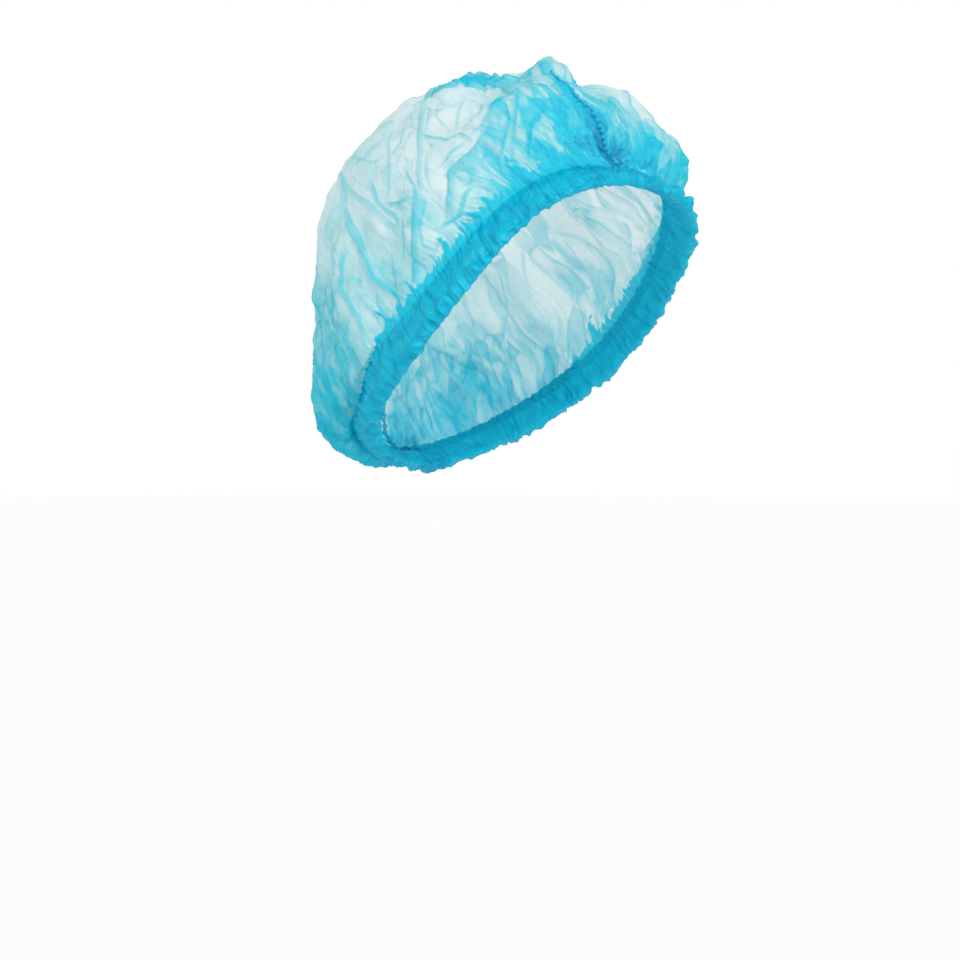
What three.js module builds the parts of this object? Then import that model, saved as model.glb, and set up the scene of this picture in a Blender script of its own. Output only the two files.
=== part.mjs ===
// A disposable pleated clip cap, as it is worn: a puffed dome of thin nonwoven, gathered into a headband
// whose hem is folded round two flat elastics, and welded together at the forehead and the nape.
// Millimetres, +Z up, the face towards -Y and the wearer's left towards +X.
// The origin is the middle of the rim, where the head goes in.
import * as THREE from "three";

// Inside the tipped group z runs up through the crown, square to the rim.
// "turn" goes round the cap in degrees: 0 at the forehead, 90 at the wearer's right ear, 180 at the nape.
// "rise" is the angle above the rim's plane, and "out" the distance outwards from the rim's line.
const TILT = 42; // the rim is tipped this far up towards the forehead
const RIM_HALF_WIDTH = 75;
const LEFT_TUCK = 4; // the rim's left half is this much narrower
const RIM_HALF_LENGTH = 98;
const RIM_EGG = 0.06; // the rim is this share narrower towards the forehead, and wider towards the nape
const DOME_WIDTH = 80; // half axes of the dome under the puffs
const DOME_LENGTH = 105;
const DOME_HEIGHT = 132;

const CLOTH = 1.2; // wall of the crown
const CROWN_COLUMNS = 96; // two to a pleat
const CROWN_FACE = 0.9; // the crown's outer face, out from the rim's line where it leaves the band
const SKIRT_LOW = 11.5; // height at which the crown ends inside the band
const SKIRT_TOP = 18.4; // height at which it leaves the band
const PLEAT = 3.6; // depth of the crown's pleats just above the band
const PLEAT_FADE = 0.55; // share of the climb over which they fade

const BAND_HEIGHT = 18;
const BAND_COLUMNS = 96; // on each half, two to a gather
const BAND_LEAN = { all: -1.5, front: -7.5 }; // how far its top leans out, over all and at the forehead
const GATHER = 2.6; // depth of the band's gathers
const ELASTIC = { low: 3.5, high: 8.5, half: 0.5, columns: 48 };

const SEAM_HALF = 1.2; // half the weld seam's thickness
const SEAM_GAP = 0.3;
const SEAM_CLEAR = 0.7; // the seam stands this far off the crown's ridge
const SEAM_RIB = { low: 2.4, high: 4.6, pitch: 2.8 };
const BAND_END = 1.3; // degrees from the seam at which each half of the band ends

// Waves that lift the rim, in millimetres, by how many times they go round
const RIM_LIFT = -3.2;
const RIM_WAVES = [
  { times: 1, even: -1.1, odd: 2.1 },
  { times: 2, even: 2.2, odd: 2.8 },
  { times: 3, even: -1.0, odd: 2.0 },
  { times: 4, even: -1.7, odd: 0.7 },
];

// Where the cloth puffs out beyond the dome
const PUFFS = [
  { name: "left front", turn: -46, rise: 20, spread: 23, height: 18 },
  { name: "second peak", turn: -22, rise: 35, spread: 8, height: 10 },
  { name: "front peak", turn: -2, rise: 46, spread: 8, height: 8 },
  { name: "dip behind the front peak", turn: 14, rise: 56, spread: 14, height: -4 },
  { name: "forehead", turn: 0, rise: 30, spread: 22, height: 1.5 },
  { name: "right front", turn: 35, rise: 25, spread: 18, height: 3 },
  { name: "right ear", turn: 95, rise: 20, spread: 25, height: 3 },
  { name: "left ear", turn: -95, rise: 20, spread: 25, height: 3 },
  { name: "right of the nape", turn: 158, rise: 8, spread: 24, height: 19 },
  { name: "left of the nape", turn: -146, rise: 14, spread: 24, height: 15 },
  { name: "back of the top", turn: 125, rise: 52, spread: 34, height: 3 },
];

// Ridges and valleys, each along an arc from one turn and rise to another
const FOLDS = [
  { name: "valley between the two peaks", from: [-9, 40], to: [-15, 13], spread: 4.5, height: -7.2 },
  { name: "roll over the top", from: [24, 61], to: [3, 43], spread: 5, height: 3 },
  { name: "edge of the front flap", from: [34, 33], to: [57, 21], spread: 5, height: 4.3 },
  { name: "top of the front flap", from: [34, 33], to: [19, 37], spread: 5, height: 3.6 },
  { name: "doubled cloth at the temple", from: [63, 33], to: [85, 15], spread: 5.5, height: 4.3 },
  { name: "long crease", from: [96, 60], to: [90, 9], spread: 5, height: -4.3 },
  { name: "crease before it", from: [77, 52], to: [83, 17], spread: 5, height: -3.6 },
  { name: "valley towards the nape", from: [118, 48], to: [137, 12], spread: 6, height: -5.8 },
  { name: "crease behind the top", from: [165, 70], to: [172, 30], spread: 6, height: -4.3 },
  { name: "left nape valley", from: [-165, 55], to: [-168, 12], spread: 6, height: -5.8 },
  { name: "left ear crease", from: [-118, 60], to: [-122, 14], spread: 6, height: -5.8 },
  { name: "left temple crease", from: [-70, 55], to: [-80, 14], spread: 5.5, height: -5.8 },
  { name: "left front crease", from: [-40, 62], to: [-62, 22], spread: 5.5, height: -4.3 },
];

// How soon the crown swings out from the band, as a share of the climb, by turn
const SWING = [
  { turn: -180, share: 0.13 },
  { turn: -120, share: 0.2 },
  { turn: -90, share: 0.3 },
  { turn: -60, share: 0.15 },
  { turn: -30, share: 0.15 },
  { turn: 0, share: 0.3 },
  { turn: 90, share: 0.3 },
  { turn: 120, share: 0.2 },
  { turn: 150, share: 0.13 },
  { turn: 180, share: 0.13 },
];

// Rings of the crown, as shares of the climb from the band to the middle of the top
const CLIMB = [0, 0.03, 0.065, 0.11, 0.16, 0.22, 0.28, 0.345, 0.41, 0.48, 0.56, 0.64, 0.73, 0.82, 0.91];

const radians = THREE.MathUtils.degToRad;
const vector = (x, y, z) => new THREE.Vector3(x, y, z);
const direction = (turn, rise) =>
  vector(-Math.sin(turn) * Math.cos(rise), -Math.cos(turn) * Math.cos(rise), Math.sin(rise));

function lift(turn) {
  const wave = ({ times, even, odd }) => even * Math.cos(times * turn) + odd * Math.sin(times * turn);
  return RIM_WAVES.reduce((sum, row) => sum + wave(row), RIM_LIFT);
}

function bandPoint(turn, out, height) {
  const side = Math.sin(turn);
  const front = Math.cos(turn);
  const halfWidth = RIM_HALF_WIDTH - (side < 0 ? LEFT_TUCK * side * side : 0);
  const outwards = vector(-side / RIM_HALF_WIDTH, -front / RIM_HALF_LENGTH, 0).normalize();
  const lean = (BAND_LEAN.all + BAND_LEAN.front * front) * (height / BAND_HEIGHT);
  const rim = vector(-halfWidth * side * (1 - RIM_EGG * front), -RIM_HALF_LENGTH * front, lift(turn));
  return rim.addScaledVector(outwards, out + lean).setZ(rim.z + height);
}

function arcAngle(ray, fold) {
  const start = direction(radians(fold.from[0]), radians(fold.from[1]));
  const end = direction(radians(fold.to[0]), radians(fold.to[1]));
  const chord = new THREE.Line3(start, end);
  const nearest = chord.closestPointToPoint(ray, true, vector(0, 0, 0));
  return THREE.MathUtils.radToDeg(ray.angleTo(nearest));
}

function domeRadius(turn, rise) {
  const ray = direction(turn, rise);
  const scaled = vector(ray.x / DOME_WIDTH, ray.y / DOME_LENGTH, ray.z / DOME_HEIGHT);
  const bell = (angle, row) => row.height * Math.exp(-((angle / row.spread) ** 2));
  let radius = 1 / scaled.length();
  for (const puff of PUFFS) {
    const middle = direction(radians(puff.turn), radians(puff.rise));
    radius += bell(THREE.MathUtils.radToDeg(ray.angleTo(middle)), puff);
  }
  for (const fold of FOLDS) radius += bell(arcAngle(ray, fold), fold);
  return radius;
}

function swingShare(turn) {
  const degrees = THREE.MathUtils.euclideanModulo(THREE.MathUtils.radToDeg(turn) + 180, 360) - 180;
  const next = SWING.findIndex((row) => row.turn > degrees);
  const [low, high] = [SWING[next - 1], SWING[next]];
  return THREE.MathUtils.mapLinear(degrees, low.turn, high.turn, low.share, high.share);
}

// The crown's outer face without its pleats
function crownForm(turn, climb) {
  const top = bandPoint(turn, CROWN_FACE, SKIRT_TOP);
  const firstRise = Math.atan2(top.z, Math.hypot(top.x, top.y));
  const first = direction(turn, firstRise).multiplyScalar(domeRadius(turn, firstRise));
  const rise = THREE.MathUtils.lerp(firstRise, Math.PI / 2, climb);
  const held = 1 - THREE.MathUtils.smoothstep(climb, 0, swingShare(turn));
  const point = direction(turn, rise).multiplyScalar(domeRadius(turn, rise));
  return point.addScaledVector(top.sub(first), held);
}

function crownNormal(turn, climb) {
  const step = 0.01;
  const below = Math.max(climb - step, 0);
  const up = crownForm(turn, climb + step).sub(crownForm(turn, below));
  const across = crownForm(turn - step, climb).sub(crownForm(turn + step, climb));
  return across.cross(up).normalize();
}

// A pleat's height runs from 0 in its valley to 1 on its ridge, and the seams lie on ridges
function crownPoint(column, climb, inwards) {
  const turn = ((column % CROWN_COLUMNS) / CROWN_COLUMNS) * 2 * Math.PI;
  const ridge = column % 2 === 0 ? 1 : 0;
  const uneven = 0.7 + 0.3 * Math.sin(7 * turn + 4 * climb);
  const strength = THREE.MathUtils.smoothstep(climb, 0, 0.05) * Math.exp(-((climb / PLEAT_FADE) ** 2));
  const height = PLEAT * uneven * strength * ridge - inwards;
  if (climb === 0) return crownForm(turn, 0).add(bandPoint(turn, -inwards, 0).sub(bandPoint(turn, 0, 0)));
  return crownForm(turn, climb).addScaledVector(crownNormal(turn, climb), height);
}

// A closed skin from rows of points: each row joins the next, and a closed row joins up with itself
class Skin {
  constructor() {
    this.positions = [];
    this.triangles = [];
  }

  add(points) {
    const first = this.positions.length / 3;
    for (const point of points) this.positions.push(point.x, point.y, point.z);
    return points.map((_, number) => first + number);
  }

  strip(lower, upper) {
    const count = lower.length;
    for (let i = 0; i < count; i += 1) {
      const j = (i + 1) % count;
      this.triangles.push(lower[i], lower[j], upper[j], lower[i], upper[j], upper[i]);
    }
  }

  fan(row, middle) {
    row.forEach((index, i) => this.triangles.push(index, row[(i + 1) % row.length], middle));
  }

  geometry() {
    const geometry = new THREE.BufferGeometry();
    geometry.setAttribute("position", new THREE.Float32BufferAttribute(this.positions, 3));
    geometry.setIndex(this.triangles);
    geometry.computeVertexNormals();
    return geometry;
  }
}

function crownGeometry() {
  const skin = new Skin();
  const columns = [...Array(CROWN_COLUMNS).keys()];
  const skirt = (inwards) => {
    const turnOf = (column) => (column / CROWN_COLUMNS) * 2 * Math.PI;
    return columns.map((column) => bandPoint(turnOf(column), CROWN_FACE - inwards, SKIRT_LOW));
  };
  const face = (inwards) => {
    const rows = CLIMB.map((climb) => columns.map((column) => crownPoint(column, climb, inwards)));
    return [skirt(inwards), ...rows].map((row) => skin.add(row));
  };
  const pole = (inwards) => skin.add([vector(0, 0, domeRadius(0, Math.PI / 2) - inwards)])[0];
  const outer = face(0);
  const inner = face(CLOTH);
  for (let row = 1; row < outer.length; row += 1) {
    skin.strip(outer[row], outer[row - 1]);
    skin.strip(inner[row - 1], inner[row]);
  }
  skin.fan([...outer.at(-1)].reverse(), pole(0));
  skin.fan(inner.at(-1), pole(CLOTH));
  skin.strip(outer[0], inner[0]);
  return skin.geometry();
}

// The folded hem, as [out, height] round its section, for a gather's height from 0 to 1
function hemSection(gather) {
  const wave = GATHER * gather;
  return [
    [1.2 + wave, BAND_HEIGHT],
    [1.2, 2],
    [-0.8, 2],
    [-0.8, 11],
    [-1.8 - 0.3 * wave, 11],
    [-1.7, 0.8 - 0.5 * wave],
    [0.2, -0.6 - 0.5 * wave],
    [1.8 + 0.4 * wave, 0.8 - 0.5 * wave],
    [2.2 + wave, 9],
    [2.2 + wave, BAND_HEIGHT],
  ];
}

// A piece that follows half of the rim, from just off the front seam to just off the back one
function halfRingGeometry(side, columns, sectionAt) {
  const skin = new Skin();
  const rows = [];
  for (let column = 0; column < columns; column += 1) {
    const degrees = THREE.MathUtils.lerp(BAND_END, 180 - BAND_END, column / (columns - 1));
    const turn = radians(side * degrees);
    rows.push(skin.add(sectionAt(column, turn).map(([out, height]) => bandPoint(turn, out, height))));
  }
  for (let row = 1; row < rows.length; row += 1) skin.strip(rows[row - 1], rows[row]);
  const section = sectionAt(0, 0).map(([out, height]) => new THREE.Vector2(out, height));
  for (const [a, b, c] of THREE.ShapeUtils.triangulateShape(section, [])) {
    skin.triangles.push(rows[0][a], rows[0][c], rows[0][b]);
    skin.triangles.push(rows.at(-1)[a], rows.at(-1)[b], rows.at(-1)[c]);
  }
  // The left half is the right half's mirror image, so its triangles run the other way round
  if (side < 0) skin.triangles.reverse();
  return skin.geometry();
}

function bandGeometry(side) {
  return halfRingGeometry(side, BAND_COLUMNS, (column, turn) => {
    const uneven = 0.8 + 0.2 * Math.sin(9 * turn);
    return hemSection(column % 2 === 0 ? 0 : uneven);
  });
}

function elasticGeometry(side) {
  const { low, high, half, columns } = ELASTIC;
  const section = [
    [half, low],
    [half, high],
    [-half, high],
    [-half, low],
  ];
  return halfRingGeometry(side, columns, () => section);
}

// The weld seam: a ribbed fin in the middle plane, which hooks under the crown's edge between the bands
function seamGeometry(column, lastRing) {
  const turn = (column / CROWN_COLUMNS) * 2 * Math.PI;
  const flat = (point) => new THREE.Vector2(point.y, point.z);
  const onBand = (out, height) => flat(bandPoint(turn, out, height));
  const crownEdge = [onBand(CROWN_FACE, SKIRT_TOP)];
  for (const climb of CLIMB.slice(1, lastRing + 1)) crownEdge.push(flat(crownPoint(column, climb, 0)));
  const edge = new THREE.CurvePath();
  for (let i = 1; i < crownEdge.length; i += 1) edge.add(new THREE.LineCurve(crownEdge[i - 1], crownEdge[i]));
  const side = Math.sign(crownEdge[0].x);
  const offEdge = (share, off) => {
    const along = edge.getTangent(share);
    const point = edge.getPoint(share);
    return new THREE.Vector2(point.x + side * along.y * off, point.y - side * along.x * off);
  };
  const ribs = 2 * Math.round(edge.getLength() / SEAM_RIB.pitch);
  const outer = [];
  for (let i = 1; i <= ribs; i += 1) {
    const height = i % 2 === 0 ? SEAM_RIB.low : SEAM_RIB.high;
    outer.push(offEdge(i / ribs, SEAM_CLEAR + height * (1 - 0.5 * (i / ribs) ** 2)));
  }
  const inner = [];
  for (let i = ribs / 2; i >= 1; i -= 1) inner.push(offEdge((2 * i) / ribs, SEAM_CLEAR));
  const outside = CROWN_FACE + SEAM_GAP;
  const foot = [
    onBand(outside, SKIRT_TOP + SEAM_GAP),
    onBand(outside, SKIRT_LOW - SEAM_GAP),
    onBand(-1.8, SKIRT_LOW - SEAM_GAP),
    onBand(-1.8, 0),
    onBand(0, -1.2),
    onBand(3.2, -0.8),
    onBand(4.6, BAND_HEIGHT / 2),
    onBand(5.2, BAND_HEIGHT),
  ];
  const shape = new THREE.Shape([...foot, ...outer, ...inner]);
  const geometry = new THREE.ExtrudeGeometry(shape, { depth: 2 * SEAM_HALF, bevelEnabled: false });
  geometry.translate(0, 0, -SEAM_HALF);
  // The drawing's x, y and depth become the cap's y, z and x
  const turned = new THREE.Matrix4().makeBasis(vector(0, 1, 0), vector(0, 0, 1), vector(1, 0, 0));
  return geometry.applyMatrix4(turned);
}

const cloth = (color, roughness) => new THREE.MeshStandardMaterial({ color, roughness, metalness: 0 });

function piece(name, geometry, material) {
  const mesh = new THREE.Mesh(geometry, material);
  mesh.name = name;
  return mesh;
}

const cap = new THREE.Group();
cap.rotation.x = -radians(TILT);
const sides = [
  { name: "right", side: 1 },
  { name: "left", side: -1 },
];
cap.add(piece("crown", crownGeometry(), cloth(0xbfe4e8, 0.85)));
for (const { name, side } of sides) {
  cap.add(piece(`band_${name}`, bandGeometry(side), cloth(0x08b4dc, 0.75)));
  cap.add(piece(`elastic_${name}`, elasticGeometry(side), cloth(0xdff2f5, 0.9)));
}
const FRONT_SEAM_RING = 8;
const BACK_SEAM_RING = 4;
cap.add(piece("front_seam", seamGeometry(0, FRONT_SEAM_RING), cloth(0x0090c8, 0.75)));
cap.add(piece("back_seam", seamGeometry(CROWN_COLUMNS / 2, BACK_SEAM_RING), cloth(0x0090c8, 0.75)));

const hairnet = new THREE.Group();
hairnet.name = "clip_cap";
hairnet.add(cap);
export default hairnet;
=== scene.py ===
"""A disposable pleated clip cap: crumpled translucent nonwoven gathered into a cyan headband."""

import math

import bpy
import numpy as np
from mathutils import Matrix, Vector


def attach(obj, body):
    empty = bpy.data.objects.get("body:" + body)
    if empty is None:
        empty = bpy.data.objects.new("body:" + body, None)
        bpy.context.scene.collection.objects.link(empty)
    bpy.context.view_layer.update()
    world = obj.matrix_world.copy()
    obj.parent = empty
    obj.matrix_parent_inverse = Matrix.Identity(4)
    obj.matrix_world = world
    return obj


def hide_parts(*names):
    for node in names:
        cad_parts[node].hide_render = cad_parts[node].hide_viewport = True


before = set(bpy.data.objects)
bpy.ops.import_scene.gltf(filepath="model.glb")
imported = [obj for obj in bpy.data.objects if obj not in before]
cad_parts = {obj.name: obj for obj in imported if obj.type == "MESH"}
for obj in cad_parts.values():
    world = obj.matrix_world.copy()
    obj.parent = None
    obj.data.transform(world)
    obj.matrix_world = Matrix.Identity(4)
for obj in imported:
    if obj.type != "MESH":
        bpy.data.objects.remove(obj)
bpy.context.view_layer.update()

# Lengths are in millimetres and angles in degrees until a mesh is made.
# The cap's own frame is u to the wearer's left, v to the forehead and w up through the crown.
# Turns go from the forehead towards the wearer's right, and rises go up from the rim's plane.
MM = 0.001
TILT = math.radians(42)
ACROSS = np.array([1.0, 0.0, 0.0])
FORWARD = np.array([0.0, -math.cos(TILT), math.sin(TILT)])
UPWARD = np.array([0.0, math.sin(TILT), math.cos(TILT)])

RIM_HALF_WIDTH, RIM_HALF_LENGTH = 75.0, 98.0
LEFT_TUCK, RIM_EGG = 4.0, 0.06
DOME = np.array([80.0, 105.0, 132.0])
BAND_HEIGHT = 18.0
SKIRT_TOP = 18.4  # where the crown leaves the band
CROWN_FACE = 0.9
CLIMB_LENGTH = 175.0  # the way from the band to the middle of the top, about
RIM_LENGTH, RIM_RADIUS = 545.0, 90.0

RIM_LIFT = -3.2
RIM_WAVES = [(1, -1.1, 2.1), (2, 2.2, 2.8), (3, -1.0, 2.0), (4, -1.7, 0.7)]  # times round, even, odd

PUFFS = [  # turn, rise, spread, height
    (-46, 20, 23, 18),
    (-22, 35, 8, 10),
    (-2, 46, 8, 8),
    (14, 56, 14, -4),
    (0, 30, 22, 1.5),
    (35, 25, 18, 3),
    (95, 20, 25, 3),
    (-95, 20, 25, 3),
    (158, 8, 24, 19),
    (-146, 14, 24, 15),
    (125, 52, 34, 3),
]
FOLDS = [  # from turn, rise, to turn, rise, spread, height
    (-9, 40, -15, 13, 4.5, -7.2),
    (24, 61, 3, 43, 5, 3),
    (34, 33, 57, 21, 5, 4.3),
    (34, 33, 19, 37, 5, 3.6),
    (63, 33, 85, 15, 5.5, 4.3),
    (96, 60, 90, 9, 5, -4.3),
    (77, 52, 83, 17, 5, -3.6),
    (118, 48, 137, 12, 6, -5.8),
    (165, 70, 172, 30, 6, -4.3),
    (-165, 55, -168, 12, 6, -5.8),
    (-118, 60, -122, 14, 6, -5.8),
    (-70, 55, -80, 14, 5.5, -5.8),
    (-40, 62, -62, 22, 5.5, -4.3),
]
SWING = [  # turn, share of the climb over which the crown swings out from the band
    (-180, 0.13),
    (-120, 0.2),
    (-90, 0.3),
    (-60, 0.15),
    (-30, 0.15),
    (0, 0.3),
    (90, 0.3),
    (120, 0.2),
    (150, 0.13),
    (180, 0.13),
]
CREASES = [  # turns and rises along it, lap width (below 0 on the other side), height, darkness
    ([(45, 58), (52, 50), (59, 42), (64, 30)], -4.5, 0.9, 0.5),
    ([(52, 49), (46, 39), (42, 38), (41, 32)], 2.0, 0.7, 0.55),
    ([(53, 60), (60, 53), (72, 54)], 2.0, 0.7, 0.4),
    ([(60, 64), (66, 57), (69, 48), (75, 41)], 2.5, 0.8, 0.35),
    ([(80, 53), (80, 44), (76, 35), (77, 28)], 3.0, 0.9, 0.55),
    ([(64, 45), (64, 33), (66, 28)], 2.0, 0.7, 0.5),
    ([(101, 66), (101, 55), (96, 44), (95, 33)], 5.0, 1.1, 0.45),
    ([(27, 53), (38, 45), (42, 40)], 1.5, 0.6, 0.3),
    ([(54, 42), (59, 32), (60, 28)], 1.8, 0.6, 0.35),
    ([(42, 33), (48, 34), (54, 33)], 1.8, 0.6, 0.45),
    ([(29, 34), (36, 32), (41, 33)], 1.5, 0.6, 0.35),
    ([(36, 31), (44, 30), (52, 31), (56, 26), (61, 23)], -5.5, 1.6, 0.75),
    ([(19, 37), (27, 36), (36, 31)], -4.0, 1.2, 0.6),
    ([(102, 50), (98, 41), (96, 31), (96, 24)], -3.0, 0.9, 0.4),
    ([(72, 30), (78, 26), (83, 23)], 2.0, 0.7, 0.6),
    ([(96, 31), (96, 24), (94, 18), (90, 9)], 2.5, 0.9, 0.6),
    ([(86, 27), (91, 19), (94, 13)], 1.5, 0.6, 0.4),
    ([(102, 40), (109, 30), (108, 19), (112, 12)], 3.5, 1.0, 0.5),
    ([(130, 45), (131, 36), (126, 24)], 3.0, 1.0, 0.45),
    ([(19, 37), (25, 32), (30, 27)], 2.5, 1.0, 0.7),
    ([(40, 66), (30, 58), (19, 54), (17, 47), (24, 33)], -7.0, 1.4, 0.6),
    ([(-22, 34), (-18, 28), (-17, 20), (-26, 16)], 3.5, 1.2, 0.6),
    ([(3, 47), (8, 44), (12, 39), (11, 33)], 3.5, 1.2, 0.6),
    ([(20, 30), (26, 25), (28, 21)], 2.0, 0.9, 0.8),
    ([(18, 29), (12, 27), (16, 21)], -2.0, 0.8, 0.7),
    ([(26, 36), (29, 30), (37, 25)], 2.0, 0.9, 0.6),
    ([(66, 31), (70, 27), (76, 22), (82, 18), (87, 10)], -4.5, 1.2, 0.8),
    ([(66, 31), (64, 28), (70, 24), (73, 20), (71, 17), (67, 19)], 1.2, 0.6, 0.5),
    ([(77, 41), (74, 38), (70, 34), (66, 31)], 2.5, 0.9, 0.6),
    ([(110, 70), (96, 59), (84, 46), (80, 36), (77, 29)], 4.0, 1.0, 0.4),
    ([(99, 52), (96, 38), (96, 26), (93, 18)], 5.0, 1.0, 0.4),
    ([(47, 24), (56, 20), (66, 21)], 2.0, 0.8, 0.6),
]
PATCHES = [  # doubled cloth, and painted shade low on the far side and at the back: turn, rise, half width, half height, lean, how much denser
    (12, 46, 7, 8, 35, 0.34),
    (18, 57, 12, 4, 57, 0.6),
    (20, 24, 23, 11, -8, 0.62),
    (0, 41, 9, 11, 0, 0.5),
    (46, 26, 4, 9, -38, 0.2),
    (70, 30, 5, 9, -30, 0.14),
    (128, 26, 12, 22, -20, 0.2),
    # These two, low at the back, are partly gathered cloth and partly painted shade.
    (160, 12, 34, 20, 0, 0.36),
    (-150, 14, 34, 22, 0, 0.34),
    # These two, low on the far side, are painted shade.
    (-20, 12, 18, 11, 0, 0.75),
    (-46, 12, 24, 12, 0, 0.6),
    (-12, 28, 4, 16, 5, 0.25),
    (-95, 24, 6, 16, 20, 0.2),
    (-70, 48, 4, 14, -30, 0.2),
    (-160, 58, 6, 12, 25, 0.2),
]

LUMPS = [  # small rises and hollows: turn, rise, spread, height
    (-2, 44, 4.5, 2),
    (5, 49, 5, -4.5),
    (-20, 37, 6, -4.5),
]

ROLL = (30, 65), (11, 52)  # from turn and rise, to turn and rise, over the top of the front
BROW = 8  # the turn where the gathers reach furthest up
EARS = (60, 95)  # turns between which the cloth grows denser
NAPE_RUFFLES = (105, 150)  # turns between which the nape's ruffles grow
NAPE = (98, 128)  # turns between which the crown starts to hang over the band
NAPE_OUT, NAPE_DROP = 3, 15

SEAM_LINE = [(-20, 1), (-6, 2.5), (15, 2.5), (30, 4.5), (45, 5), (80, 3)]  # reach, turn
SEAM_PITCH = 2.8
FRONT_SEAM_REACH, BACK_SEAM_REACH = 68, 35
PINCH_TURN, PINCH_REACH = 2, 8.0  # where the front seam draws the cloth together most

# Layers say how much cloth lies together, from near 0 for one thin ply to the densest knot.
BAND_LAYERS, MOST_LAYERS = 0.92, 1.5
CROWN_LAYERS = (0.02, 1.4)  # the fewest and the most in the crown

CROWN_RINGS = [  # columns, from reach, to reach, rings
    (1200, -7, 96, 120),
    (600, 96, 140, 52),
    (300, 140, 165, 32),
    (150, 165, 174, 12),
]
LARGE_PLATES, SMALL_PLATES, LONG_PLEATS = 330, 1800, 104
FAR = 1e9
AT_ONCE = 20000  # points that are set against the plates' seeds at a time


def direction(turn, rise):
    side = np.cos(rise)
    return np.stack([-np.sin(turn) * side, np.cos(turn) * side, np.sin(rise)], -1)


def unit(vectors):
    return vectors / np.linalg.norm(vectors, axis=-1, keepdims=True)


def smooth(x):
    x = np.clip(x, 0, 1)
    return x * x * (3 - 2 * x)


def ease(x, start, end):
    return smooth((x - start) / (end - start))


def turn_between(turn):
    """The same turn in radians, from minus to plus half a turn."""
    return (turn + np.pi) % (2 * np.pi) - np.pi


def behind(turn, turns):
    """0 at the forehead, and 1 beyond the second of two turns on either side."""
    return ease(np.abs(turn_between(turn)), *np.radians(turns))


def waves(points, size, seed, count=18):
    """Soft noise of about unit strength, whose bumps are size apart."""
    random = np.random.default_rng(seed)
    rays = unit(random.normal(size=(count, 3))) * (2 * np.pi / size)
    rays *= random.uniform(0.6, 1.4, (count, 1))
    phases = random.uniform(0, 2 * np.pi, count)
    total = np.zeros(points.shape[:-1])
    for ray, phase in zip(rays, phases):
        total += np.cos(points @ ray + phase)
    return total * math.sqrt(2 / count)


def lift(turn):
    total = np.full_like(turn, RIM_LIFT)
    for times, even, odd in RIM_WAVES:
        total += even * np.cos(times * turn) + odd * np.sin(times * turn)
    return total


def outwards(turn):
    along = np.stack([-np.sin(turn) / RIM_HALF_WIDTH, np.cos(turn) / RIM_HALF_LENGTH, 0 * turn], -1)
    return unit(along)


def band_point(turn, out, height):
    side, front = np.sin(turn), np.cos(turn)
    half_width = RIM_HALF_WIDTH - np.where(side < 0, LEFT_TUCK * side**2, 0)
    rim = np.stack([-half_width * side * (1 - RIM_EGG * front), RIM_HALF_LENGTH * front, lift(turn)], -1)
    lean = (-1.5 - 7.5 * front) * height / BAND_HEIGHT
    point = rim + outwards(turn) * (out + lean)[..., None]
    point[..., 2] += height
    return point


def degrees_apart(a, b):
    return np.degrees(np.arccos(np.clip((a * b).sum(-1), -1, 1)))


def to_arc(ray, start, end):
    """Degrees from each ray to the arc between two turns and rises, and the side it lies on."""
    first, last = direction(*np.radians(start)), direction(*np.radians(end))
    span = last - first
    share = np.clip((ray - first) @ span / (span @ span), 0, 1)
    away = degrees_apart(ray, unit(first + share[..., None] * span))
    return away, np.sign(ray @ np.cross(first, last))


def dome_radius(ray):
    radius = 1 / np.linalg.norm(ray / DOME, axis=-1)
    for turn, rise, spread, height in PUFFS:
        middle = direction(math.radians(turn), math.radians(rise))
        radius += height * np.exp(-((degrees_apart(ray, middle) / spread) ** 2))
    for from_turn, from_rise, to_turn, to_rise, spread, height in FOLDS:
        away, _ = to_arc(ray, (from_turn, from_rise), (to_turn, to_rise))
        radius += height * np.exp(-((away / spread) ** 2))
    return radius


def crown_form(turn, reach):
    """Points at reach millimetres up the crown from the band, and below 0 down inside the band."""
    reach = np.broadcast_to(reach, turn.shape)
    climb = np.maximum(reach, 0) / CLIMB_LENGTH
    top = band_point(turn, np.full_like(turn, CROWN_FACE), np.full_like(turn, SKIRT_TOP))
    low = band_point(turn, np.full_like(turn, CROWN_FACE), SKIRT_TOP + np.minimum(reach, 0))
    first_rise = np.arctan2(top[..., 2], np.hypot(top[..., 0], top[..., 1]))
    first = direction(turn, first_rise)
    rise = first_rise + (np.pi / 2 - first_rise) * climb
    ray = direction(turn, rise)
    swing_turns, swing_shares = np.array(SWING).T
    share = np.interp(np.degrees(turn_between(turn)), swing_turns, swing_shares)
    held = 1 - smooth(climb / share)
    start = low - first * dome_radius(first)[..., None]
    point = ray * dome_radius(ray)[..., None] + start * held[..., None]
    sag = behind(turn, NAPE) * ease(reach, 0, 8)
    sag = sag * np.exp(-(((reach - 12) / 10) ** 2))
    point = point + outwards(turn) * (NAPE_OUT * sag)[..., None]
    point[..., 2] -= NAPE_DROP * sag
    return point


class Gathers:
    """Irregular ridges round the rim, each with its own strength and length."""

    def __init__(self, pitch, seed, around=RIM_LENGTH):
        random = np.random.default_rng(seed)
        self.around = around
        self.count = int(around / pitch)
        steps = random.uniform(0.5, 1.5, self.count)
        self.edges = np.concatenate([[0], np.cumsum(steps)]) / steps.sum()
        self.strength = random.uniform(0.3, 1.0, self.count)
        self.length = random.uniform(0.0, 1.0, self.count) ** 2

    def at(self, turn, drift):
        """Height in the ridge from 0 to 1, and the ridge's strength and length."""
        share = (turn / (2 * np.pi) + drift / self.around) % 1.0
        place = np.interp(share, self.edges, np.arange(self.count + 1))
        ridge = np.minimum(place.astype(int), self.count - 1)
        height = 1 - np.abs(2 * (place - ridge) - 1)
        return height, self.strength[ridge], self.length[ridge]


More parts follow.
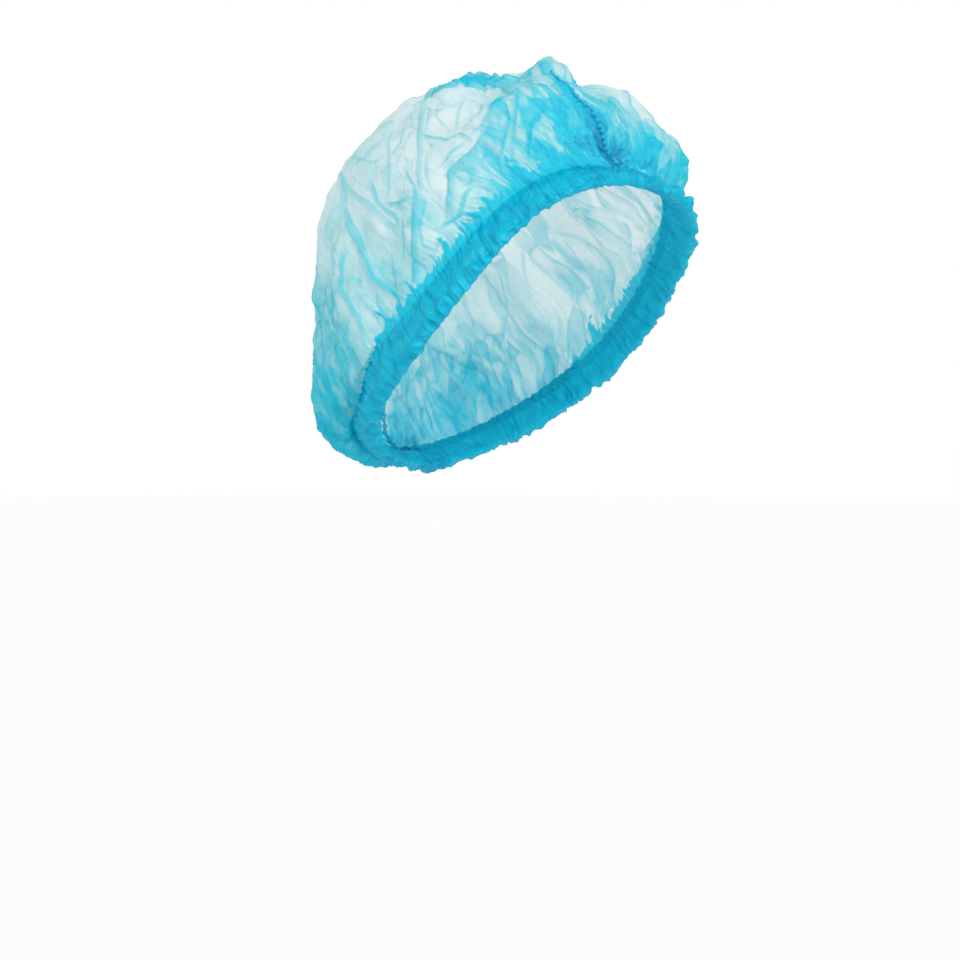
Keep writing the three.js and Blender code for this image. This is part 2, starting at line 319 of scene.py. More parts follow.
COARSE = Gathers(pitch=5.6, seed=11)
MIDDLE = Gathers(pitch=3.1, seed=15)
FINE = Gathers(pitch=1.9, seed=12)
SCALLOPS = Gathers(pitch=9.5, seed=13)
SPOKES = Gathers(pitch=1, seed=16, around=34)  # round a pinch


def seam_path(nape):
    """Reaches and turns in radians along the front or the back seam."""
    reaches, turns = np.array(SEAM_LINE).T
    return reaches, np.radians(turns) + (math.pi if nape else 0)


PINCHES = [
    crown_form(np.full(1, math.radians(turn)), PINCH_REACH)[0] for turn in (PINCH_TURN, PINCH_TURN + 180)]


def pinch_spokes(point, pinch):
    """Distance from a pinch, and the height and strength of the folds that run out from it."""
    away = point - pinch
    round_it = np.arctan2(away[..., 0], away[..., 2])
    spoke, strength, _ = SPOKES.at(round_it, 0.3 * waves(point, 9, 78))
    return np.linalg.norm(away, axis=-1), spoke, strength


def near_brow(turn, spread):
    """1 at the middle of the forehead, and less as the turn leaves it."""
    return np.exp(-(((np.degrees(turn_between(turn)) - BROW) / spread) ** 2))


def gather_relief(turn, point, reach):
    """Height of the gathers, how much is ridge, how far their teeth reach, and the lines between them."""
    loose = smooth(np.abs(reach) / 12)
    drift = 1.8 * waves(point, 26, 21) * loose + 0.5 * waves(point, 9, 22)
    up = np.maximum(reach, 0)
    coarse, strength, length = COARSE.at(turn, drift)
    middle, middle_strength, middle_length = MIDDLE.at(turn, drift * 0.8)
    fine, fine_strength, _ = FINE.at(turn, drift * 0.6)
    wide = coarse**1.4 * strength
    slim = middle**1.2 * middle_strength
    relief = 2.1 * wide * np.exp(-up / (7 + 24 * length))
    relief += 1.1 * slim * np.exp(-up / (4 + 12 * middle_length))
    relief += 0.5 * fine * fine_strength * np.exp(-up / 5)
    ridge = 0.5 * wide + 0.5 * slim
    tooth = (3 + 13 * length) * coarse * strength
    tooth = np.maximum(tooth, (2.5 + 9 * middle_length) * middle * middle_strength)
    tooth = tooth * (1 + 0.6 * near_brow(turn, 24))
    streak = (1 - coarse) ** 4 * strength * np.exp(-up / (9 + 32 * length))
    slim_streak = (1 - middle) ** 4 * middle_strength * np.exp(-up / (5 + 18 * middle_length))
    return relief, ridge, tooth, np.maximum(streak, slim_streak)


def lap_of(away, width):
    """How much of a pleat pressed flat beside its fold lies at away from it, and the fold's line."""
    lap = ease(away, -0.5, 0.4) * (1 - ease(away, 0.3 * width, width))
    return lap, np.exp(-((away / 0.4) ** 2))


def painted_glints(point):
    """Painted glints: short bright marks that run up the gathers, drawn as paler cloth."""
    return ease(waves(point * np.array([1, 1, 0.4]), 2.4, 91), 1.3, 2.0)


class Relief:
    """Adds up the height and the layers of cloth over the crown."""

    def __init__(self, size):
        self.height = np.zeros(size)
        self.layers = np.zeros(size)

    def pleat(self, away, width, tall, dark, shown, lap_share, line_share):
        lap, line = lap_of(away, width)
        self.height += tall * lap * shown
        more = dark * (lap_share * lap + line_share * line) * shown
        self.layers = np.maximum(self.layers, more) + 0.35 * np.minimum(self.layers, more)


def add_long_pleats(relief, turn, point, reach, share):
    """Pleats that start in the gathers and run up the crown."""
    random = np.random.default_rng(32)
    around = np.hypot(point[:, 0], point[:, 1]) + 1
    bent = 4 * waves(point, 70, 33) + 0.9 * waves(point, 22, 34)
    flow = turn + bent * ease(reach, 0, 30) / around
    for number in range(LONG_PLEATS):
        start = -np.pi + 2 * np.pi * (number + random.uniform(0, 1)) / LONG_PLEATS
        slope, width = random.uniform(-0.2, 0.2), random.uniform(2.0, 7.0)
        end = 18 + 120 * random.uniform(0, 1) ** 1.4
        tall, dark = random.uniform(0.4, 1.0), random.uniform(0.15, 0.45)
        side = random.choice([-1, 1])
        away = side * (turn_between(flow - start) * around - slope * reach)
        shown = ease(reach, 0, 7) * (1 - ease(reach, 0.55 * end, end)) * share
        relief.pleat(away, width, tall, dark, shown, lap_share=0.34, line_share=0.42)


class Plates:
    """A net of flat plates, long up the crown, that lie between short pleats."""

    def __init__(self, point, meridian, seeds, longer, seed):
        self.random = np.random.default_rng(seed)
        self.seeds = seeds
        warp = np.stack([waves(point, 50, seed + axis) for axis in range(3)], -1) * 1.6
        warp += np.stack([waves(point, 11, seed + 3 + axis) for axis in range(3)], -1) * 0.35
        self.where = point + warp
        squeeze = 1 - 1 / longer**2
        found = [], [], []
        for start in range(0, len(point), AT_ONCE):
            part = slice(start, start + AT_ONCE)
            here, way = self.where[part], meridian[part]
            squared = (here**2).sum(-1)[:, None] + (seeds**2).sum(-1) - 2 * here @ seeds.T
            squared -= squeeze[part, None] * ((here * way).sum(-1)[:, None] - way @ seeds.T) ** 2
            rows = np.arange(len(here))
            first = squared.argmin(1)
            near = np.sqrt(np.maximum(squared[rows, first], 0))
            squared[rows, first] = np.inf
            second = squared.argmin(1)
            for kept, value in zip(found, (first, second, np.sqrt(squared[rows, second]) - near)):
                kept.append(value)
        self.cell, self.other, apart = (np.concatenate(kept) for kept in found)
        self.edge = 0.7 * apart
        pair = np.minimum(self.cell, self.other) * len(seeds) + np.maximum(self.cell, self.other)
        self.chance = np.modf(np.abs(np.sin(pair * 12.9898) * 43758.5453))[0]

    def per_plate(self, low, high):
        return self.random.uniform(low, high, len(self.seeds))

    def spread(self, values):
        """Each plate's value over the plate, with a crisp change at its edges."""
        mine, theirs = values[self.cell], values[self.other]
        return mine + 0.5 * (theirs - mine) * (1 - ease(self.edge, 0, 0.7))

    def add_to(self, relief, share, tall, dark, slope, width, lap_share, line_share):
        side = np.where((self.cell > self.other) ^ (self.chance * 7 % 1 > 0.5), 1, -1)
        shown = ease(self.chance, 0.25, 0.8) * share
        width = width * (0.5 + self.chance * 13 % 1)
        relief.pleat(self.edge * side, width, tall, dark, shown, lap_share, line_share)
        slopes = self.random.normal(0, slope, (len(self.seeds), 3))
        tilt = (slopes[self.cell] * (self.where - self.seeds[self.cell])).sum(-1)
        tilt = np.clip(tilt, -15 * slope, 15 * slope) * ease(self.edge, 0, 1.6)
        relief.height += (tilt + tall * (1 - np.exp(-self.edge / 3))) * (0.4 + 0.6 * share)


def random_seeds(count, seed, highest):
    random = np.random.default_rng(seed)
    turn = random.uniform(-np.pi, np.pi, count)
    share = random.uniform(0, math.sin(highest / CLIMB_LENGTH * np.pi / 2), count)
    return crown_form(turn, 4 + CLIMB_LENGTH * np.arcsin(share) / (np.pi / 2))


def add_creases(relief, ray, size):
    """Adds the folds that show most, each along its own line, and says how near the closest one is."""
    closest = np.full(len(ray), FAR)
    for line, width, tall, dark in CREASES:
        away = np.full(len(ray), FAR)
        side = np.ones(len(ray))
        for start, end in zip(line[:-1], line[1:]):
            to_part, part_side = to_arc(ray, start, end)
            to_part = np.radians(to_part) * size
            side = np.where(to_part < away, part_side, side)
            away = np.minimum(away, to_part)
        closest = np.minimum(closest, away)
        fade = 1.0
        for tip in (line[0], line[-1]):
            to_tip = np.radians(degrees_apart(ray, direction(*np.radians(tip)))) * size
            fade = fade * (0.25 + 0.75 * ease(to_tip, 0, 7))
        away = away * side * np.sign(width)
        relief.pleat(away, abs(width), tall, dark, fade, lap_share=0.42, line_share=0.45)
    return closest


def patch_layers(ray):
    """Layers of cloth that lie doubled near the band, at the temple and on the top roll, and painted shade
    low on the far side and at the back.
    """
    total = np.zeros(len(ray))
    for turn, rise, half_width, half_height, lean, denser in PATCHES:
        middle = direction(math.radians(turn), math.radians(rise))
        right = unit(np.cross([0, 0, 1], middle))
        up = np.cross(middle, right)
        x, y = np.degrees(ray @ right), np.degrees(ray @ up)
        c, s = math.cos(math.radians(lean)), math.sin(math.radians(lean))
        size = np.hypot((x * c + y * s) / half_width, (y * c - x * s) / half_height)
        inside = 1 - ease(size, 0.65, 1.2)
        total = np.maximum(total, np.where(ray @ middle > 0.2, inside, 0) * denser)
    return total


def scallop_at_roll(ray):
    """Round scallops along the roll over the top of the front."""
    start, end = (direction(*np.radians(tip)) for tip in ROLL)
    along = np.degrees(ray @ unit(start - end))
    return np.abs(np.cos(along * np.pi / 3.2 + 0.6 * np.sin(along * 0.9)))


def vertex_normals(points, triangles):
    a, b, c = (points[triangles[:, corner]] for corner in range(3))
    facing = np.cross(b - a, c - a)
    total = np.zeros_like(points)
    for corner in range(3):
        for axis in range(3):
            total[:, axis] += np.bincount(triangles[:, corner], facing[:, axis], len(points))
    return total / np.maximum(np.linalg.norm(total, axis=-1, keepdims=True), 1e-12)


def placed(points):
    return (points[:, :1] * ACROSS + points[:, 1:2] * FORWARD + points[:, 2:3] * UPWARD) * MM


def mesh_object(name, points, triangles, attributes, material, normals=None):
    """A smooth mesh of points in the cap's frame, with a number at each point for each attribute."""
    mesh = bpy.data.meshes.new(name)
    mesh.vertices.add(len(points))
    mesh.vertices.foreach_set("co", placed(points).astype(np.float32).ravel())
    mesh.loops.add(triangles.size)
    mesh.loops.foreach_set("vertex_index", triangles.astype(np.int32).ravel())
    mesh.polygons.add(len(triangles))
    mesh.polygons.foreach_set("loop_start", np.arange(0, triangles.size, 3, dtype=np.int32))
    mesh.update(calc_edges=True)
    mesh.polygons.foreach_set("use_smooth", np.ones(len(triangles), bool))
    for key, values in attributes.items():
        layer = mesh.attributes.new(key, "FLOAT", "POINT")
        layer.data.foreach_set("value", np.asarray(values, np.float32))
    if normals is not None:
        mesh.normals_split_custom_set_from_vertices(normals.tolist())
    mesh.materials.append(material)
    made = bpy.data.objects.new(name, mesh)
    bpy.context.scene.collection.objects.link(made)
    return made


def grid_triangles(rows, columns, flipped=False):
    grid = np.arange(rows * columns).reshape(rows, columns)
    a, b, c, d = (g.ravel() for g in (grid[:-1, :-1], grid[1:, :-1], grid[1:, 1:], grid[:-1, 1:]))
    triangles = np.concatenate([np.stack([a, b, c], -1), np.stack([a, c, d], -1)])
    return triangles[:, ::-1] if flipped else triangles


def between_rings(lower, upper):
    """Triangles between two rings of the same size, or where the upper has half as many points."""
    i = np.arange(len(upper))
    j = (i + 1) % len(upper)
    if len(upper) == len(lower):
        return [np.stack([lower[i], upper[i], upper[j]], -1), np.stack([lower[i], upper[j], lower[j]], -1)]
    a, b, c = lower[2 * i], lower[2 * i + 1], lower[(2 * i + 2) % len(lower)]
    return [np.stack(corners, -1) for corners in (
        (a, upper[i], b), (b, upper[i], upper[j]), (b, upper[j], c))]


def crown_grid():
    turns, reaches, rings = [], [], []
    for columns, start, end, count in CROWN_RINGS:
        for reach in np.linspace(start, end, count, endpoint=False):
            rings.append(np.arange(columns) + sum(map(len, turns)))
            turns.append(np.linspace(-np.pi, np.pi, columns, endpoint=False))
            reaches.append(np.full(columns, reach))
    turns.append(np.zeros(1))
    reaches.append(np.full(1, CLIMB_LENGTH))
    triangles = []
    for lower, upper in zip(rings[:-1], rings[1:]):
        triangles += between_rings(lower, upper)
    last = rings[-1]
    apex = np.full(len(last), sum(map(len, turns)) - 1)
    triangles.append(np.stack([last, apex, np.roll(last, -1)], -1))
    return np.concatenate(turns), np.concatenate(reaches), np.concatenate(triangles)


class Crown:
    """The crown's smooth form, and the height and layers of cloth that its folds add at each point."""

    def __init__(self, turn, reach):
        self.turn, self.reach = turn, reach
        self.climb = reach / CLIMB_LENGTH
        self.form = crown_form(turn, reach)
        self.ray, self.size = unit(self.form), np.linalg.norm(self.form, axis=-1)
        self.meridian, self.normal = self.facing()
        self.gathers, self.ridge, self.tooth, self.streak = gather_relief(turn, self.form, reach)
        self.free = ease(reach, 1, 16)
        self.at_nape = behind(turn, NAPE_RUFFLES)
        self.add_folds()
        self.add_ruffles()
        self.add_lumps()
        self.add_roll()
        self.add_seam_puckers()
        self.add_pinches()
        self.add_teeth()

    def facing(self):
        """Unit vectors up the crown and out of it."""
        turn, reach = self.turn, self.reach
        step, turn_step = 0.7, 0.004
        up = crown_form(turn, reach + step) - crown_form(turn, reach - step)
        across = crown_form(turn - turn_step, reach) - crown_form(turn + turn_step, reach)
        across[-1], up[-1] = (1, 0, 0), (0, 1, 0)  # at the middle of the top
        normal = unit(np.cross(up, across))
        at_band = (1 - ease(reach, 0, 9))[:, None]
        return unit(up), unit(normal * (1 - at_band) + outwards(turn) * at_band)

    def waves(self, size, seed):
        return waves(self.form, size, seed)

    def add_folds(self):
        """Creases, plates and pleats, with small plates where the cloth lies doubled."""
        form, climb, free = self.form, self.climb, self.free
        relief = Relief(len(form))
        closest = add_creases(relief, self.ray, self.size)
        uncreased = 1 - 0.75 * np.exp(-((closest / 6) ** 2))
        near_top = 1 - 0.45 * ease(climb, 0.7, 0.95)
        longer = 1 + 2.1 * (1 - ease(climb, 0.35, 0.9))
        seeds = random_seeds(LARGE_PLATES, seed=31, highest=174)
        plates = Plates(form, self.meridian, seeds, longer, seed=41)
        plates.add_to(
            relief, free * uncreased * near_top,
            tall=0.6, dark=0.42, slope=0.06, width=4.2, lap_share=0.3, line_share=0.42)
        thin = plates.spread(plates.per_plate(-0.03, 0.05))
        doubled = self.doubled_cloth_and_painted_shade(relief)
        add_long_pleats(relief, self.turn, form, self.reach, uncreased)
        self.height = relief.height * free
        self.layers = 0.05 + thin + 0.02 * self.waves(32, 75) + relief.layers * free
        self.layers += 0.09 * behind(self.turn, EARS) * (1 - ease(climb, 0.4, 0.75))
        # The patches' layers: doubled cloth, and painted shade low on the far side and at the back.
        self.layers += doubled * (0.95 + 0.08 * self.waves(6, 76))
        # Denser low at the back: partly the nape's ruffles, partly painted shade.
        self.layers += 0.07 * self.at_nape * (1 - ease(climb, 0.3, 0.6))

    def doubled_cloth_and_painted_shade(self, relief):
        """Adds the small plates of the patches, and gives their layers."""
        busy = patch_layers(self.ray)
        near = busy > 0.02
        seeds = random_seeds(SMALL_PLATES, seed=35, highest=135)
        seeds_busy = patch_layers(unit(seeds))
        seeds, seeds_busy = seeds[seeds_busy > 0.01], seeds_busy[seeds_busy > 0.01]
        longer = np.full(near.sum(), 2.0)
        small = Plates(self.form[near], self.meridian[near], seeds, longer, seed=47)
        small_relief = Relief(near.sum())
        in_zone = ease(busy[near], 0.02, 0.2)
        small.add_to(
            small_relief, in_zone * self.free[near],
            tall=0.5, dark=0.4, slope=0.1, width=2.2, lap_share=0.25, line_share=0.6)
        relief.height[near] += small_relief.height * in_zone
        relief.layers[near] = np.maximum(relief.layers[near], small_relief.layers)
        folded = small.per_plate(0.55, 1.35) * np.where(small.per_plate(0, 1) < 0.36, 0.08, 1)
        doubled = np.zeros(len(busy))
        doubled[near] = 0.75 * small.spread(seeds_busy * folded) + 0.25 * busy[near]
        return doubled

    def add_ruffles(self):
        """Gathers above the band, soft billows all over and round ruffles at the nape."""
        self.height += self.gathers * (1 - 0.7 * ease(-self.reach, 0, 5))
        self.height += (1.2 * self.waves(44, 71) + 0.5 * self.waves(19, 77)) * self.free
        self.height += 0.08 * self.waves(5.5, 72) * self.free
        scallop, strength, _ = SCALLOPS.at(self.turn, 2.5 * self.waves(30, 73))
        large = 2.6 * scallop**0.8 * strength * np.exp(-(((self.reach - 14) / 20) ** 2))
        small = (2.4 * self.ridge + 0.4 * self.waves(4.5, 92)) * np.exp(-(((self.reach - 12) / 9) ** 2))
        self.height += (large + small) * self.at_nape * self.free

    def add_lumps(self):
        for turn, rise, spread, height in LUMPS:
            away = degrees_apart(self.ray, direction(*np.radians((turn, rise))))
            self.height += height * np.exp(-((away / spread) ** 2))

    def add_roll(self):
        away, _ = to_arc(self.ray, *ROLL)
        self.height += (2.8 * scallop_at_roll(self.ray) - 0.5) * np.exp(-((away / 4.5) ** 2))

    def add_seam_puckers(self):
        """Folds that the front seam holds on its left."""
        around = np.hypot(self.form[:, 0], self.form[:, 1])
        away = turn_between(self.turn - np.interp(self.reach, *seam_path(False))) * around
        beside = ease(away, -1.5, 0) * (1 - ease(away, 3, 9 - 5 * ease(self.reach, 20, 60)))
        beside = beside * ease(self.form[:, 1], 0, 30) * (1 - ease(self.reach, 55, 75))
        pucker = 0.5 + 0.5 * np.sin(self.reach * np.pi / SEAM_PITCH + 1.5 * self.waves(9, 80))
        self.height += 0.8 * pucker * beside * self.free
        self.layers += (0.4 + 0.3 * (1 - pucker)) * beside
        self.layers = np.minimum(self.layers, BAND_LAYERS)

    def add_pinches(self):
        for pinch in PINCHES:
            away, spoke, strength = pinch_spokes(self.form, pinch)
            self.height += 3.0 * spoke**1.3 * strength * np.exp(-away / 16) * self.free
            self.height -= 3 * np.exp(-((away / 8) ** 2)) * self.free
            self.layers += (0.3 + 0.7 * (1 - spoke) ** 1.5) * np.exp(-((away / 18) ** 2))
            self.layers += 0.7 * np.exp(-((away / 7) ** 2))

    def add_teeth(self):
        """Dense teeth of gathered cloth that run up from the band, with painted glints at their tips."""
        up = np.maximum(self.reach, 0)
        self.layers += 0.2 * self.ridge * np.exp(-up / 12) + 0.5 * self.streak
        self.layers += 0.1 * np.exp(-up / 9)
        self.layers = np.clip(self.layers, *CROWN_LAYERS)
        above = self.reach - 4 - 8 * near_brow(self.turn, 20)
        above -= 1.35 * self.tooth * (1 + 0.12 * self.waves(4, 79))
        self.layers += np.maximum(BAND_LAYERS - self.layers, 0) * (1 - ease(above, -0.8, 1.0))
        # Painted highlights: short marks near the teeth's tips are drawn as paler cloth.
        painted_glint = painted_glints(self.form) * np.exp(-(((above + 1) / 4) ** 2))
        self.layers = np.maximum(self.layers - 0.5 * painted_glint, CROWN_LAYERS[0])

    def points(self):
        return self.form + self.normal * self.height[:, None]


def make_crown(material):
    """The crown's two halves, and a function that gives its points near some turns and reaches."""
    turn, reach, triangles = crown_grid()
    crown = Crown(turn, reach)
    points = crown.points()
    normals = vertex_normals(placed(points), triangles)
    # Painted shade: the gathers' ridges are drawn white and everything else a little darker.
    painted_crest_shade = np.clip(crown.gathers / 2.5, 0, 1)
    halves = []
    middle = np.sin(turn)[triangles].sum(-1)
    for name, side in (("crumpled_crown_right", middle > 0), ("crumpled_crown_left", middle < 0)):
        used, kept = np.unique(triangles[side], return_inverse=True)
        values = {"layers": crown.layers[used], "painted_crest_shade": painted_crest_shade[used]}
        halves.append(mesh_object(name, points[used], kept.reshape(-1, 3), values, material, normals[used]))

    def crown_at(turns, reaches):
        found = []
        for one_turn, one_reach in zip(turns, reaches):
            aside = np.abs(turn_between(turn - one_turn)) * RIM_RADIUS
            away = aside + np.abs(reach - one_reach)
            found.append(away.argmin())
        return points[found]

    return halves, crown_at


HEM = [  # out, height, depth of the gathers there, down the outside, round the fold and up the inside
    (0.9, 18.4, 1.0),
    (1.6, 16.0, 0.8),
    (2.5, 12.0, 0.5),
    (3.0, 8.0, 0.36),
    (3.0, 4.0, 0.36),
    (2.4, 1.2, 0.5),
    (0.9, -0.6, 0.7),
    (-0.8, -0.2, 0.5),
    (-1.6, 2.0, 0.45),
    (-1.8, 6.0, 0.45),
    (-1.9, 11.0, 0.5),
]
BAND_COLUMNS, BAND_ROWS = 920, 60
HEM_FOLD = 0.55  # the share of the hem's way where its outside ends


def way_along(line):
    """Length from a line's start to each of its points."""
    return np.concatenate([[0], np.cumsum(np.linalg.norm(np.diff(line, axis=0), axis=1))])


def hem_rows():
    """Out, height, depth of the gathers and share of the way, at even steps along the hem."""
    hem = np.array(HEM)
    lengths = way_along(hem[:, :2])
    down = np.linspace(0, lengths[-1], BAND_ROWS)
    out, height, depth = (np.interp(down, lengths, column) for column in hem.T)
    kernel = np.array([1, 2, 3, 2, 1]) / 9
    out = np.convolve(np.pad(out, 2, "edge"), kernel, "valid")
    height = np.convolve(np.pad(height, 2, "edge"), kernel, "valid")
    out[0], height[0] = hem[0, :2]
    return out, height, depth, down / lengths[-1]


def make_band(name, side, material):
    """Half of the headband: side is 1 for the wearer's right and -1 for the left."""
    turn = np.repeat(side * np.radians(np.linspace(0, 180, BAND_COLUMNS)), BAND_ROWS)
    out, height, depth, share = (np.tile(row, BAND_COLUMNS) for row in hem_rows())
    form = band_point(turn, out, height)
    relief, ridge, _, streak = gather_relief(turn, form, height - SKIRT_TOP)
    outside = share < HEM_FOLD
    facing = np.where(outside, 1.0, -1.0) * ease(np.abs(share - HEM_FOLD), 0.0, 0.12)
    below = ease(SKIRT_TOP - height, 0, 3)
    relief = relief * depth + (0.4 * waves(form, 9, 81) + 0.08 * waves(form, 3.2, 82)) * below
    height_out = relief * facing
    knot = 0
    for pinch in PINCHES:
        away, spoke, strength = pinch_spokes(form, pinch)
        height_out += 2.8 * spoke**1.3 * strength * np.exp(-away / 15) * below * outside
        height_out -= 2.8 * np.exp(-((away / 7) ** 2)) * outside
        knot = knot + 0.7 * (1 - spoke) ** 1.5 * np.exp(-away / 14) + 0.6 * np.exp(-((away / 5) ** 2))
    points = form + outwards(turn) * height_out[:, None]
    bottom = np.exp(-(((share - 0.5) / 0.12) ** 2))
    points[:, 2] -= bottom * (2.6 * ridge + 0.5 * waves(form, 5, 83) + 0.7 * waves(form, 15, 86))
    points += outwards(turn) * (bottom * (1.1 * waves(form, 6, 87) + 0.8 * waves(form, 13, 88)))[:, None]
    triangles = grid_triangles(BAND_COLUMNS, BAND_ROWS, flipped=side > 0)
    # Painted highlights: near the band's top and bottom edges, glints are drawn as paler cloth.
    edges = np.exp(-(((height - SKIRT_TOP) / 5) ** 2)) + np.exp(-(((height - 1) / 3) ** 2)) * outside
    layers = BAND_LAYERS + 0.04 * waves(form, 12, 84) + 0.1 * streak + knot
    values = {
        "layers": np.clip(layers - 0.6 * painted_glints(form) * edges, 0, MOST_LAYERS),
        # Painted light and shade: the gathers' ridges and the band's top drawn lighter, its valleys and
        # lower part darker.
        "painted_crest_shade": np.clip(ridge * 1.2 + 0.12 * waves(form, 4, 85) + ease(height, 14, SKIRT_TOP), 0, 1),
    }
    return mesh_object(name, points, triangles, values, material)


SEAM_ROWS, SEAM_COLUMNS = 13, 560
SEAM_HALF_WIDTH, SEAM_STANDS = 2.1, 2.2
SEAM_ON_BAND = 1.2  # how far out from the rim the seam lies where it crosses the band


def worn_down(line, times):
    """The same line with its kinks worn down and its ends kept."""
    for _ in range(times):
        line[1:-1] = (line[:-2] + line[1:-1] * 2 + line[2:]) / 4
    return line


def seam_course(nape, last_reach, crown_at):
    """Even steps along the seam, and its points there, from the band up the crumpled crown."""
    heights = np.linspace(2, SKIRT_TOP - 0.5, 24)
    turns = np.interp(heights - SKIRT_TOP, *seam_path(nape))
    on_band = band_point(turns, np.full_like(heights, SEAM_ON_BAND), heights)
    reaches = np.linspace(1, last_reach, 90)
    on_crown = crown_at(np.interp(reaches, *seam_path(nape)), reaches)
    line = worn_down(np.concatenate([on_band, on_crown]), 6)
    lengths = way_along(line)
    even = np.linspace(0, lengths[-1], SEAM_COLUMNS)
    line = np.stack([np.interp(even, lengths, line[:, axis]) for axis in range(3)], -1)
    return even, worn_down(line, 20)


def make_seam(name, nape, last_reach, crown_at, material):
    """A welded edge drawn up into a chain of small puckers."""
    even, line = seam_course(nape, last_reach, crown_at)
    tangent = unit(np.gradient(line, axis=0))
    normal = np.cross(ACROSS, tangent)
    inside = np.array([0, 0, 40])
    normal = unit(normal * np.sign((normal * (line - inside)).sum(-1))[:, None])
    aside = np.cross(tangent, normal)
    phase = 2 * np.pi * even / SEAM_PITCH + 1.2 * np.sin(even / 5.1) + 0.8 * np.sin(even / 2.3)
    bead = 0.5 + 0.5 * np.sin(phase)
    lump = 0.85 + 0.15 * np.sin(even / 3.7) * np.sin(even / 1.9 + 1)
    size = (0.45 + 0.55 * bead) * lump * (1 - 0.5 * (even / even[-1]) ** 2) * ease(even, 0, 4)
    sway = 0.5 * np.sin(phase / 2 + 1) + 0.5 * np.sin(even / 4.3)
    rows, painted_bead_shade = [], []
    for angle in np.linspace(-0.5, np.pi + 0.5, SEAM_ROWS):
        across = SEAM_HALF_WIDTH * np.cos(angle) * size + sway
        proud = SEAM_STANDS * np.sin(angle) * size + 0.1
        rows.append(line + aside * across[:, None] + normal * proud[:, None])
        # Painted light and shade: the puckers' tops drawn lighter, their sides and dips darker.
        painted_bead_shade.append(bead * (0.35 + 0.65 * max(math.sin(angle), 0)))
    points = np.stack(rows, 1).reshape(-1, 3)
    values = {"layers": np.full(len(points), 1.3), "painted_crest_shade": np.stack(painted_bead_shade, 1).ravel()}
    return mesh_object(name, points, grid_triangles(SEAM_COLUMNS, SEAM_ROWS), values, material)


def node(tree, kind, inputs=None, **settings):
    made = tree.nodes.new(kind)
    for key, value in settings.items():
        setattr(made, key, value)
    for key, value in (inputs or {}).items():
        if isinstance(value, bpy.types.NodeSocket):
            tree.links.new(value, made.inputs[key])
        else:
            made.inputs[key].default_value = value
    return made


def ramp(tree, factor, stops):
    made = node(tree, "ShaderNodeValToRGB", {"Fac": factor})
    elements = made.color_ramp.elements
    while len(elements) < len(stops):
        elements.new(0.5)
    for element, (position, colour) in zip(elements, stops):
        element.position = position
        element.color = (*colour, 1.0)
    return made.outputs["Color"]


def attribute(tree, name):
    return node(tree, "ShaderNodeAttribute", attribute_name=name).outputs["Fac"]


def combine(tree, operation, *values):
    return node(tree, "ShaderNodeMath", dict(enumerate(values)), operation=operation).outputs[0]


def nonwoven(name, colours, painted_shade_colours, opacity, roughness):
    """Thin spunbond cloth: fibres and bond points in its bump, more colour where layers lie together, and
    painted light and shade multiplied in.
    """
    material = bpy.data.materials.new(name)
    material.use_nodes = True
    tree = material.node_tree
    tree.nodes.clear()
    place = node(tree, "ShaderNodeTexCoord").outputs["Object"]
    mottle = node(tree, "ShaderNodeTexNoise", {"Vector": place, "Scale": 420.0, "Detail": 4.0})
    fibre = node(tree, "ShaderNodeTexNoise", {"Vector": place, "Scale": 2600.0, "Detail": 3.0})
    bonds = node(tree, "ShaderNodeTexVoronoi", {"Vector": place, "Scale": 750.0})
    patchy = combine(tree, "MULTIPLY_ADD", mottle.outputs["Fac"], 0.14, -0.07)
    dense = combine(tree, "ADD", attribute(tree, "layers"), patchy)
    base = ramp(tree, combine(tree, "DIVIDE", dense, MOST_LAYERS), colours)
    # Painted light and shade: a second ramp darkens valleys and keeps crests white, multiplied into the
    # colour.
    painted_light_and_shade = ramp(tree, attribute(tree, "painted_crest_shade"), painted_shade_colours)
    shaded_colour = node(tree, "ShaderNodeMix", {0: 1.0, 6: base, 7: painted_light_and_shade}, data_type="RGBA", blend_type="MULTIPLY")
    colour = shaded_colour.outputs[2]
    relief = combine(tree, "ADD", fibre.outputs["Fac"], bonds.outputs["Distance"])
    bump = node(tree, "ShaderNodeBump", {"Height": relief, "Strength": 0.25, "Distance": 0.0003})
    surface = node(tree, "ShaderNodeBsdfPrincipled", {
        "Base Color": colour,
        "Roughness": roughness,
        "Specular IOR Level": 0.3,
        "Normal": bump.outputs["Normal"],
    })
    through = node(tree, "ShaderNodeBsdfTranslucent", {"Color": colour, "Normal": bump.outputs["Normal"]})
    cloth = node(tree, "ShaderNodeMixShader", {0: 0.4, 1: surface.outputs[0], 2: through.outputs[0]})
    clear = node(tree, "ShaderNodeBsdfTransparent", {"Color": (0.97, 0.998, 1.0, 1.0)})
    alpha = node(tree, "ShaderNodeMapRange", {
        "Value": dense, "From Min": 0.0, "From Max": 0.9, "To Min": opacity[0], "To Max": opacity[1]})
    mixed = node(tree, "ShaderNodeMixShader", {
        0: alpha.outputs[0], 1: clear.outputs[0], 2: cloth.outputs[0]})
    node(tree, "ShaderNodeOutputMaterial", {"Surface": mixed.outputs[0]})
    return material


